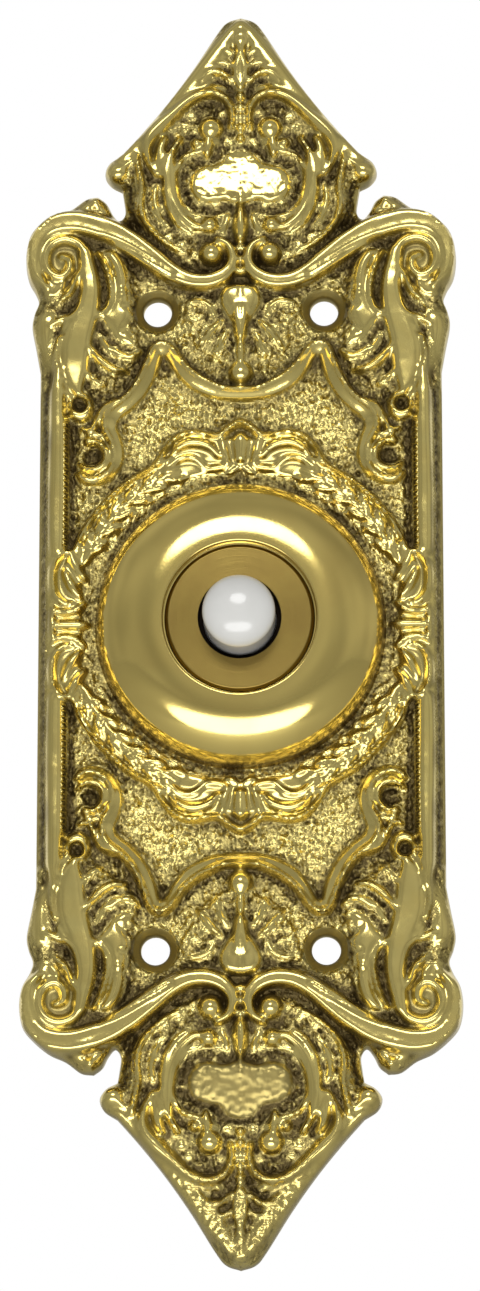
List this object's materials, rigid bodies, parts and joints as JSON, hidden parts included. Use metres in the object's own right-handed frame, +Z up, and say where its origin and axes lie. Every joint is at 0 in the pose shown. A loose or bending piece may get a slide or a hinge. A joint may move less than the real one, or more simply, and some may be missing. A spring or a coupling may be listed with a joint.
{
  "type": "doorbell push button",
  "caption": "Ornate cast brass bell push: pointed plate with scrolls, leaves and a laurel ring, turned bezel, satin guide cap and a sprung white button over a leaf contact",
  "frame": {"origin": "on the wall's face, at the middle of the four screw holes and on the button's axis", "axes": "+Z up the wall, -Y out of the wall towards the person who presses the button, +X to the right as that person sees it"},
  "size_m": [0.07, 0.0283, 0.204],
  "materials": {
    "cast_brass": "cast brass, polished relief over a pebbled ground with dark patina in the hollows",
    "polished_brass": "turned and mirror polished brass",
    "satin_brass": "turned brass with a satin face",
    "white_button": "glossy white moulded plastic",
    "moulded_base": "black thermoset moulding, dull",
    "base_ring": "turned brass, machined",
    "spring_bronze": "rolled phosphor bronze strip",
    "contact_brass": "rolled brass strip",
    "contact_silver": "silver contact rivet",
    "ring_steel": "zinc plated steel washer",
    "ring_brass": "turned brass, machined",
    "terminal_brass": "machined brass"
  },
  "bodies": {
    "plate": {"back_plate": "cast_brass", "bezel": "polished_brass", "guide_cap": "satin_brass", "contact_base": "moulded_base", "base_ring": "base_ring", "contact_leaf": "spring_bronze", "fixed_contact": "contact_brass", "contact_stud": "contact_silver", "ring_washer": "ring_steel", "ring_nut": "ring_brass", "terminal_screw_left": "terminal_brass", "lock_nut_left": "terminal_brass", "terminal_washer_left": "terminal_brass", "terminal_nut_left": "terminal_brass", "terminal_screw_right": "terminal_brass", "lock_nut_right": "terminal_brass", "terminal_washer_right": "terminal_brass", "terminal_nut_right": "terminal_brass"},
    "button": {"push_button": "white_button"}
  },
  "joints": [
    {"name": "button_press", "type": "slide", "parent": "plate", "child": "button", "axis": [0, 1, 0], "range_m": [0, 0.0018], "stiffness_N_per_m": 600, "springref_m": -0.0015, "deforming": ["contact_leaf"]}
  ]
}
